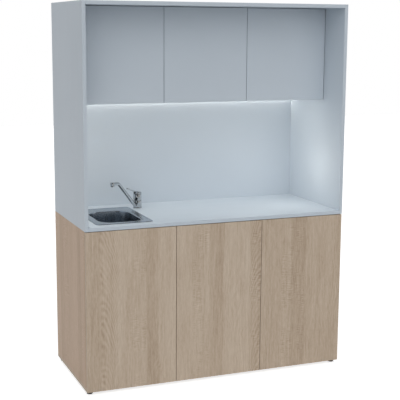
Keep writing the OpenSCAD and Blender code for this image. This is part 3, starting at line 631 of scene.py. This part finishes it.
def screw_head(mesh, at, out, radius, height):
    """A round head with a sunk recess, standing on a face whose outward X direction is out."""
    upright = Matrix.Translation(at) @ Matrix.Rotation(math.radians(90 * out), 4, "Y")
    made = bmesh.ops.create_cone(mesh, cap_ends=True, segments=24, radius1=radius,
                                 radius2=radius * HEAD_TOP, depth=height, matrix=upright)
    caps = [f for v in made["verts"] for f in v.link_faces if len(f.verts) > 4]
    cap = max(caps, key=lambda f: f.calc_center_median().x * out)
    bmesh.ops.inset_region(mesh, faces=[cap], thickness=radius * RECESS_INSET,
                           use_even_offset=True, use_boundary=True)
    bmesh.ops.translate(mesh, verts=cap.verts[:], vec=(-out * height * RECESS_DEPTH, 0, 0))


# %% Round the plates and set their screws
# Millimetres. A corner edge is one that runs through the plate's thickness.
PLATE_T, PLATE_CORNER, CORNER_STEPS = 2.0, 5, 5
ARM_T, ARM_W = 12.0, 14.0
PLATE_SCREW = {"back": 25, "from_end": 6.5, "radius": 4.2, "height": 2.0, "stand": 0.8}
ARM_SCREWS = ((14, 4.4), (34, 3.0))
ARM_SCREW_H, ARM_SCREW_STAND = 1.8, 0.6


def screw_down(mesh):
    """Rounds the hinge plates' corners and sets the screws of plates and arms."""
    for group in islands(mesh):
        heights = [v.co.z for v in group]
        middle = (min(heights) + max(heights)) / 2
        plate = {v for v in group if abs(v.co.z - middle) > ARM_W / 2 * MM + ON_THE_BOX}
        near, far = min(v.co.x for v in plate), max(v.co.x for v in plate)
        out = 1 if sum(v.co.x for v in group) / len(group) > (near + far) / 2 else -1
        face_x = far if out > 0 else near
        back = max(v.co.y for v in plate)
        half = max(v.co.z for v in plate) - middle
        corners = [e for e in mesh.edges if e.verts[0] in plate and e.verts[1] in plate
                   and abs((e.verts[1].co - e.verts[0].co).x) > PLATE_T * 0.9 * MM]
        round_over(mesh, corners, PLATE_CORNER * MM, CORNER_STEPS, clamp=False)
        s = PLATE_SCREW
        for side in (-1, 1):
            at = (face_x + out * s["stand"] * MM, back - s["back"] * MM,
                  middle + side * (half - s["from_end"] * MM))
            screw_head(mesh, at, out, s["radius"] * MM, s["height"] * MM)
        for step, radius in ARM_SCREWS:
            at = (face_x + out * (ARM_T + ARM_SCREW_STAND) * MM, back - step * MM, middle)
            screw_head(mesh, at, out, radius * MM, ARM_SCREW_H * MM)


# %% [markdown]
# ## Rounded copies of the small parts
# Turned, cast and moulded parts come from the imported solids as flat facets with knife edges. Every
# sharp edge of the copy gets a narrow bevel: that is what tumbling or polishing does to the real
# part, and it is why a tap shows a bright line at each of its steps.

# %% Round over the small parts
SHARP = math.radians(38.0)
shapes = {"overflow_pipe": open_mouth, "hinge_arms": screw_down}


def refine(node, width):
    mesh = clean_copy(node)
    if node in shapes:
        shapes[node](mesh)
    sharp = [e for e in mesh.edges if e.is_manifold and e.calc_face_angle(0.0) > SHARP]
    round_over(mesh, sharp, width, 2)
    return piece(node + "_form", mesh, node)


# Millimetres of rounding for each part.
rounded = {"tap_column": 0.5, "lever_hub": 0.5, "lever": 0.9, "aerator": 0.3, "waste_body": 0.2,
           "strainer": 0.15, "tap_nut": 0.4, "trap_body": 0.8, "trap_nuts": 0.5,
           "waste_pipe": 0.3, "overflow_pipe": 0.4}
rounded.update({"foot_" + end + "_" + s: 0.6
                for end in ("front", "back") for s in ("left", "right")})
rounded.update({"hinge_arms": 0.35, "back_screws": 0.15, "shelf_pins": 0.3, "latch_housings": 0.6,
                "foot_sockets": 0.4, "sink_clips": 0.2, "door_buffers": 0.3, "led_profile": 0.15,
                "led_diffuser": 0.3})
rounded.update({row + "_fittings_" + s: 0.35
                for row in ("base", "wall") for s in ("left", "middle", "right")})
rounded.update({"plunger_" + s: 0.5 for s in ("left", "middle", "right")})
made = {node: refine(node, width * MM) for node, width in rounded.items()}
# The pipe's second slot holds the dark seal rubber, which paints the shade in the mouth's pocket.
made["overflow_pipe"].data.materials.append(finishes["seal_rubber"].material)
print("rounded parts", len(made))

# %% Soften the boards inside
inner = {"base_divider_left": 0.4, "base_divider_right": 0.4, "wall_divider_left": 0.4,
         "wall_divider_right": 0.4, "base_shelves": 0.7, "wall_shelves": 0.7, "base_rails": 0.5,
         "base_back": 0.3}
for node, width in inner.items():
    flatten(refine(node, width * MM))
print("inner boards", len(inner))

# %% [markdown]
# ## Pressed sink
# A sink is one sheet of steel pressed in a few strokes. First a bead is rolled round the rim, then
# the bowl is drawn down from the flat deck. A bevelled square gives the rounded rectangle, and each
# stroke is an inset of the middle face followed by a drop, so the corners stay true arcs all the
# way down, as they do in the press. A subdivided box would be quicker, but its corners would sag.

# %% Rounded plates and press strokes
CORNER_CUTS = 14
SAME_HEIGHT = 0.00001


def plate(mesh, centre, width, depth, radius, height):
    """A flat rounded rectangle, in millimetres; returns its face."""
    where = Matrix.Translation((centre[0] * MM, centre[1] * MM, height * MM))
    where = where @ Matrix.Diagonal((width * MM, depth * MM, 1, 1))
    made = bmesh.ops.create_grid(mesh, x_segments=1, y_segments=1, size=0.5, matrix=where)
    bmesh.ops.bevel(mesh, geom=made["verts"], offset=radius * MM, offset_type="OFFSET",
                    affect="VERTICES", segments=CORNER_CUTS, profile=0.5, material=-1)
    level = [f for f in mesh.faces
             if abs(f.calc_center_median().z - height * MM) < SAME_HEIGHT]
    return max(level, key=lambda f: len(f.verts))


def press(mesh, face, strokes):
    """Each stroke insets the middle face and moves it down, in millimetres."""
    for inset, drop in strokes:
        bmesh.ops.inset_region(mesh, faces=[face], thickness=inset * MM, use_even_offset=True,
                               use_boundary=True)
        bmesh.ops.translate(mesh, verts=face.verts[:], vec=(0, 0, -drop * MM))
    return face


def quarter(radius, count, falling):
    """Strokes of a quarter round: falling starts flat and ends upright, otherwise upright first."""
    turns = [math.pi / 2 * i / count for i in range(count + 1)]
    run = [radius * (math.sin(b) - math.sin(a)) for a, b in zip(turns, turns[1:])]
    fall = [radius * (math.cos(a) - math.cos(b)) for a, b in zip(turns, turns[1:])]
    return list(zip(run, fall) if falling else zip(fall, run))


def bridge_at(mesh, height):
    """Fills the flat gap between the two open rings at that height."""
    rings = [e for e in mesh.edges if len(e.link_faces) < 2
             and all(abs(v.co.z - height * MM) < SAME_POINT for v in e.verts)]
    bmesh.ops.bridge_loops(mesh, edges=rings)


# %% Sizes of the sink
# Millimetres. Rim and bowl are width, depth and corner radius, and the bead is a row of strokes,
# each an inset and a drop.
RIM = (316.0, 456.0, 22.0)
BOWL = (232.0, 318.0, 72.0)
BEAD = [(0.3, -0.9), (0.6, -1.0), (0.9, -0.8), (1.0, -0.5), (1.1, -0.2),
        (1.2, 0.1), (1.2, 0.45), (1.0, 0.7), (0.7, 0.35), (0.5, 0.0)]
DECK, BEAD_FOOT = 902.0, 1.8
LIP, DRAFT, ROOT, DEPTH = 6.0, 6.0, 22.0, 130.0
LIP_STROKES, WALL_STROKES, ROOT_STROKES = 6, 4, 8
BOWL_FROM_RIM, DRAIN_R = 44.0, 43
low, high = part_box("sink")
middle_x, middle_y = (low.x + high.x) / 2 / MM, (low.y + high.y) / 2 / MM
bowl_y = low.y / MM + BOWL_FROM_RIM + BOWL[1] / 2
print("bowl at", round(middle_x, 1), round(bowl_y, 1))

# %% Press the bead, the deck and the bowl
sink = bmesh.new()
rim = plate(sink, (middle_x, middle_y), *RIM, DECK - BEAD_FOOT)
bmesh.ops.delete(sink, geom=[press(sink, rim, BEAD)], context="FACES_ONLY")
mouth = (BOWL[0] + 2 * LIP, BOWL[1] + 2 * LIP, BOWL[2] + LIP)
bowl = plate(sink, (middle_x, bowl_y), *mouth, DECK)
wall = [(DRAFT / WALL_STROKES, (DEPTH - LIP - ROOT) / WALL_STROKES)] * WALL_STROKES
strokes = quarter(LIP, LIP_STROKES, True) + wall + quarter(ROOT, ROOT_STROKES, False)
bmesh.ops.delete(sink, geom=[press(sink, bowl, strokes)], context="FACES_ONLY")
bridge_at(sink, DECK)
print("strokes", len(BEAD) + len(strokes), "faces", len(sink.faces))

# %% [markdown]
# The last stroke punches the drain. Its edge is a circle with as many corners as the bowl's ring
# has, so that the two rings bridge corner to corner. Only then are all faces turned upwards and
# the sheet's thickness added, behind the face that is seen.

# %% Punch the drain and give the sheet its thickness
SHEET, SINK_SMOOTH = 1.0, 50.0


def outwards(mesh):
    """Merges what lies on the same point and turns all faces outwards."""
    bmesh.ops.remove_doubles(mesh, verts=mesh.verts[:], dist=SAME_POINT)
    bmesh.ops.recalc_face_normals(mesh, faces=mesh.faces[:])


drain = Matrix.Translation((middle_x * MM, bowl_y * MM, (DECK - DEPTH) * MM))
bmesh.ops.create_circle(sink, cap_ends=False, segments=4 * (CORNER_CUTS + 1),
                        radius=DRAIN_R * MM, matrix=drain)
bridge_at(sink, DECK - DEPTH)
outwards(sink)
if sum(f.normal.z * f.calc_area() for f in sink.faces) < 0:
    bmesh.ops.reverse_faces(sink, faces=sink.faces[:])
sink_piece = piece("sink_pressing", sink, "sink", smooth=SINK_SMOOTH)
thickness = sink_piece.modifiers.new("sheet", "SOLIDIFY")
thickness.thickness = SHEET * MM
thickness.offset = -1.0
print("sheet faces", len(sink_piece.data.polygons))

# %% [markdown]
# ## Drilled overflow
# High on the bowl's back wall sit seven small holes, one in the middle and six round it. The wall
# leans a little, and its faces are long strips in which insets would be awkward, so the holes are
# cut as they are in the shop: seven drills go through the finished sheet, here as a Boolean. The
# result is kept as a plain mesh and the drills are removed.

# %% Drill the overflow
HOLES_ROUND, HOLE_R, RING_R, DRILL_LENGTH = 6, 2.7, 7.0, 24
OVERFLOW_DROP = 42.0
drills = bmesh.new()
back_wall = Matrix.Translation((middle_x * MM, (bowl_y + BOWL[1] / 2) * MM,
                                (DECK - OVERFLOW_DROP) * MM))
lying = Matrix.Rotation(math.pi / 2, 4, "X")
for step in range(HOLES_ROUND + 1):
    away = RING_R * MM if step < HOLES_ROUND else 0.0
    turn = Matrix.Rotation(step * math.tau / HOLES_ROUND, 4, "Y")
    at = back_wall @ turn @ Matrix.Translation((away, 0, 0)) @ lying
    bmesh.ops.create_cone(drills, cap_ends=True, segments=20, radius1=HOLE_R * MM,
                          radius2=HOLE_R * MM, depth=DRILL_LENGTH * MM, matrix=at)
drill_data = bpy.data.meshes.new("drills")
drills.to_mesh(drill_data)
drills.free()
drill_set = bpy.data.objects.new("drills", drill_data)
bpy.context.scene.collection.objects.link(drill_set)
cut = sink_piece.modifiers.new("overflow_holes", "BOOLEAN")
cut.operation = "DIFFERENCE"
cut.object = drill_set

# %% Keep the drilled sheet
bpy.context.view_layer.update()
shown = sink_piece.evaluated_get(bpy.context.evaluated_depsgraph_get())
pressed = bpy.data.meshes.new_from_object(shown)
pressed.set_sharp_from_angle(angle=math.radians(SINK_SMOOTH))
sink_piece.modifiers.clear()
sink_piece.data = pressed
bpy.data.objects.remove(drill_set)
bpy.data.meshes.remove(drill_data)
print("sink faces", len(pressed.polygons))

# %% [markdown]
# ## Spout
# The spout is drawn tube: straight, bent once round a former, and soldered into a turned ring that
# swivels on the tap's body. The same three steps make it here. A circle is extruded for the
# straight run, spun round the former's centre for the bend, and extruded again for the tip. It is
# drawn pointing along X from the tap's axis, and turned into its place at the end.

# %% Turned rings and drawn tube
def heading(degrees):
    """The way that rises by that angle from the X axis."""
    return Vector((math.cos(math.radians(degrees)), 0, math.sin(math.radians(degrees))))


def turned(mesh, profile, at=(0, 0, 0), steps=72):
    """A profile of (radius, height) pairs in millimetres, spun round an upright axis."""
    before = set(mesh.verts)
    verts = [mesh.verts.new((r * MM, 0, z * MM)) for r, z in profile]
    edges = [mesh.edges.new(pair) for pair in zip(verts, verts[1:])]
    bmesh.ops.spin(mesh, geom=verts + edges, cent=(0, 0, 0), axis=(0, 0, 1), angle=math.tau,
                   steps=steps, use_merge=True)
    new = [v for v in mesh.verts if v not in before]
    bmesh.ops.translate(mesh, verts=new, vec=Vector(at) * MM)


def edges_in(geometry):
    return [e for e in geometry if isinstance(e, bmesh.types.BMEdge)]


def ends_of(edges):
    """The edges' vertices, each once."""
    return list(dict.fromkeys(v for e in edges for v in e.verts))


def drawn_on(mesh, ring, way):
    """Extrudes a ring of edges by that many millimetres; returns the new ring."""
    new = edges_in(bmesh.ops.extrude_edge_only(mesh, edges=ring)["geom"])
    bmesh.ops.translate(mesh, verts=ends_of(new), vec=way * MM)
    return new


# %% Draw and bend the tube
# Degrees: how far the spout is turned from the left towards the front, the tube's rise and the
# tip's rise.
SPOUT_TURN, RISE, TIP_RISE = 28.0, 47.0, 2.0
RUN, HIDDEN, FORMER, TIP, TUBE_R = 178.0, 8, 26.0, 34.0, 9.5
TUBE_CORNERS, BEND_STEPS = 40, 14
LEAVES_RING = Vector((24, 0, 19))
climb = heading(RISE)
former_at = LEAVES_RING + climb * RUN + heading(RISE - 90) * FORMER
spout = bmesh.new()
foot = Matrix.Translation((LEAVES_RING - climb * HIDDEN) * MM)
foot = foot @ Matrix.Rotation(math.radians(90 - RISE), 4, "Y")
bmesh.ops.create_circle(spout, cap_ends=False, segments=TUBE_CORNERS, radius=TUBE_R * MM,
                        matrix=foot)
ring = drawn_on(spout, spout.edges[:], climb * (RUN + HIDDEN))
bent = bmesh.ops.spin(spout, geom=ring + ends_of(ring), cent=former_at * MM, axis=(0, 1, 0),
                      angle=math.radians(RISE - TIP_RISE), steps=BEND_STEPS, use_merge=False)
ring = drawn_on(spout, edges_in(bent["geom_last"]), heading(TIP_RISE) * TIP)
rims = [e for e in spout.edges if e.is_boundary]
bmesh.ops.holes_fill(spout, edges=rims, sides=0)
last = ends_of(ring)
tip_end = sum((v.co for v in last), Vector()) / len(last) / MM
print("bend centre", [round(x, 1) for x in former_at], "tip", [round(x, 1) for x in tip_end])

# %% Add the rings and turn the spout into place
COUNTER = 900.0
TIP_RING = [(0, 0), (10.8, 0), (11.6, 0.3), (12, 1.2), (12, 18.8), (11.6, 19.7), (10.8, 20),
            (0, 20)]
SWIVEL_RING = [(17.05, 6.3), (23.2, 6.3), (23.8, 6.6), (24, 7.3), (24, 42.7), (23.8, 43.4),
               (23.2, 43.7), (17.05, 43.7), (17.05, 6.3)]
turned(spout, TIP_RING, (tip_end.x, 0, tip_end.z + TUBE_R - TIP_RING[-1][1]), 48)
turned(spout, SWIVEL_RING)
outwards(spout)
low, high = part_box("tap_column")
tap_axis = Matrix.Translation(((low.x + high.x) / 2, (low.y + high.y) / 2, COUNTER * MM))
tap_frame = tap_axis @ Matrix.Rotation(math.radians(180 + SPOUT_TURN), 4, "Z")
bmesh.ops.transform(spout, matrix=tap_frame, verts=spout.verts[:])
print("spout", len(piece("spout_tube", spout, "spout").data.polygons))

# %% [markdown]
# ## Room
# The unit stands on a plain pale floor in a white room. The room's whiteness is seen only by the
# camera and in reflections: the light that falls on the unit from the world is dull, so that a
# colour renders about as it is written, and the floor keeps the unit's shadow.

# %% A light level that depends on the ray, and flat sheets for the room
def bright_where_seen(wiring, dull, white):
    """dull for the unit's light, white wherever a ray looks, reflects or passes through."""
    rays = wiring.node("ShaderNodeLightPath").socket.node.outputs
    camera, glossy, passing = (Flow(wiring, rays["Is %s Ray" % kind])
                               for kind in ("Camera", "Glossy", "Transmission"))
    return (camera + (glossy + passing)).ranged(0.0, 1.0, dull, white, curve="LINEAR")


def stage_sheet(name, look, size, where=Matrix.Identity(4)):
    """A flat sheet that isn't part of the unit; size is its width and depth."""
    made = bmesh.new()
    bmesh.ops.create_grid(made, x_segments=1, y_segments=1, size=0.5,
                          matrix=where @ Matrix.Diagonal((*size, 1, 1)))
    data = bpy.data.meshes.new(name)
    made.to_mesh(data)
    made.free()
    data.materials.append(look)
    sheet = bpy.data.objects.new(name, data)
    bpy.context.scene.collection.objects.link(sheet)
    sheet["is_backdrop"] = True
    return sheet


# %% Floor and white surroundings
WORLD_DULL, WORLD_WHITE = 0.25, 1.0
FLOOR_DULL, FLOOR_WHITE = 0.0, 0.72
FLOOR_SIZE = 28.0
world = bpy.data.worlds.new("pale_room")
bpy.context.scene.world = world
sky = Wiring(world, "Background")
sky.look(Color=(1.0, 1.0, 1.0, 1.0), Strength=bright_where_seen(sky, WORLD_DULL, WORLD_WHITE))
floor_look = bpy.data.materials.new("pale_floor")
pale = Wiring(floor_look)
pale.look(Base_Color=(0.72, 0.72, 0.72, 1.0), Roughness=0.9, Specular_IOR_Level=0.0,
          Emission_Color=(1.0, 1.0, 1.0, 1.0),
          Emission_Strength=bright_where_seen(pale, FLOOR_DULL, FLOOR_WHITE))
stage_sheet("floor", floor_look, (FLOOR_SIZE, FLOOR_SIZE))
print("floor and room")

# %% [markdown]
# ## Cards for the chrome
# Chrome in an all-white room looks like plaster. A studio puts dark cards beside the lens, and the
# tap and the bowl get their dark edges from them. These cards show only in reflections: neither the
# camera nor the unit's light knows of them. The grey one tones down the tap's white highlights.

# %% Place the cards
# Each card's tone, place, the point it faces, and its width and height.
CARDS = {"front_card": ("black", (-1.15, -1.9, 1.75), (-0.45, 0.0, 0.95), (1.3, 2.2)),
         "upper_card": ("black", (-0.2, -1.5, 2.6), (-0.5, 0.0, 0.85), (2.6, 1.6)),
         "low_card": ("grey", (0.29, -1.45, 0.80), (-0.31, 0.16, 0.95), (1.5, 2.0))}
card_looks = {}
for shade, tone in (("black", 0.012), ("grey", 0.55)):
    card_looks[shade] = bpy.data.materials.new(shade + "_card")
    colour = (tone, tone * 1.03, tone * 1.06, 1.0)
    Wiring(card_looks[shade]).look(Base_Color=colour, Roughness=1.0, Specular_IOR_Level=0.0)
for name, (shade, place, target, size) in CARDS.items():
    turn = (Vector(target) - Vector(place)).to_track_quat("Z", "Y").to_matrix().to_4x4()
    card = stage_sheet(name, card_looks[shade], size, Matrix.Translation(place) @ turn)
    card.visible_camera = card.visible_diffuse = False
    card.visible_shadow = card.visible_transmission = False
print("cards placed", len(CARDS))

# %% [markdown]
# ## Lamps
# Three very wide, soft suns light the room: the key from the front left, a flat one from the front,
# and one from behind so that the back isn't black in other views. In the niche the real strip is a
# row of diodes under the cover. It would be noisy as many small lamps, so one long, narrow lamp
# stands for it, and wider, weaker ones for the light that bounces about between the white boards.

# %% Suns
WHITE = (1.0, 1.0, 1.0)
WIDE_SUN = math.radians(80)


def lamp(name, kind, power, colour, place=(0.0, 0.0, 0.0), way=None, **settings):
    """A lamp that lights the unit, but that neither the camera nor a reflection shows."""
    data = bpy.data.lights.new(name, kind)
    data.energy = power
    data.color = colour
    for setting, value in settings.items():
        setattr(data, setting, value)
    item = bpy.data.objects.new(name, data)
    item.location = place
    if way:
        item.rotation_euler = Vector(way).to_track_quat("-Z", "Y").to_euler()
    item.visible_camera = item.visible_glossy = False
    bpy.context.scene.collection.objects.link(item)


lamp("key_light", "SUN", 1.23, WHITE, way=(0.62, 1.0, -0.93), angle=WIDE_SUN)
lamp("front_light", "SUN", 0.65, WHITE, way=(0.0, 1.0, -0.25), angle=WIDE_SUN)
lamp("back_light", "SUN", 0.95, WHITE, way=(-0.6, -1.0, -0.5), angle=WIDE_SUN)
print("suns placed")

# %% Niche
WARM = (1.0, 0.925, 0.82)
BEHIND_COVER, UNDER_COVER = 0.012, 0.004
FILL_Y = 0.045
low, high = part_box("led_diffuser")
strip_y, strip_z = (low.y + high.y) / 2 + BEHIND_COVER, low.z - UNDER_COVER
DOWN, ACROSS = (0.0, 0.0, -1.0), (1.0, 0.0, 0.0)
for name, power, place, way, size in (
        ("niche_light", 1.20, (0.0, strip_y, strip_z), DOWN, (1.44, 0.012)),
        ("niche_fill", 1.06, (0.0, FILL_Y, strip_z), DOWN, (1.40, 0.25)),
        ("niche_side", 1.02, (-0.715, -0.02, 1.17), ACROSS, (0.60, 0.56))):
    lamp(name, "AREA", power, WARM, place, way, shape="RECTANGLE", size=size[0], size_y=size[1])
for name, power, place in (("niche_end", 0.84, (0.54, -0.09, 1.13)),
                           ("niche_front", 0.34, (0.20, -0.24, 1.10))):
    lamp(name, "POINT", power, WARM, place, shadow_soft_size=0.12)
print("strip at", round(strip_y, 3), round(strip_z, 3))

# %% [markdown]
# ## Camera
# The unit is seen from its front left and from a little above. The place, the turn and the lens
# were fitted together, so that the corners of the worktop, the doors and the niche fall where the
# photograph shows them. A long lens far away keeps the upright edges nearly parallel.

# %% Camera
view = bpy.data.cameras.new("camera")
view.sensor_width = 36.0
view.lens = 87.98
camera = bpy.data.objects.new("camera", view)
camera.location = (-2.0301, -5.0738, 1.9065)
camera.rotation_euler = [math.radians(a) for a in (80.0964, -0.3481, -21.8536)]
bpy.context.scene.collection.objects.link(camera)
bpy.context.scene.camera = camera
bpy.context.scene.view_settings.view_transform = "Standard"
print("camera at", [round(c, 2) for c in camera.location])

# %% Measure the box round everything shown, without the room
low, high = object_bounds()
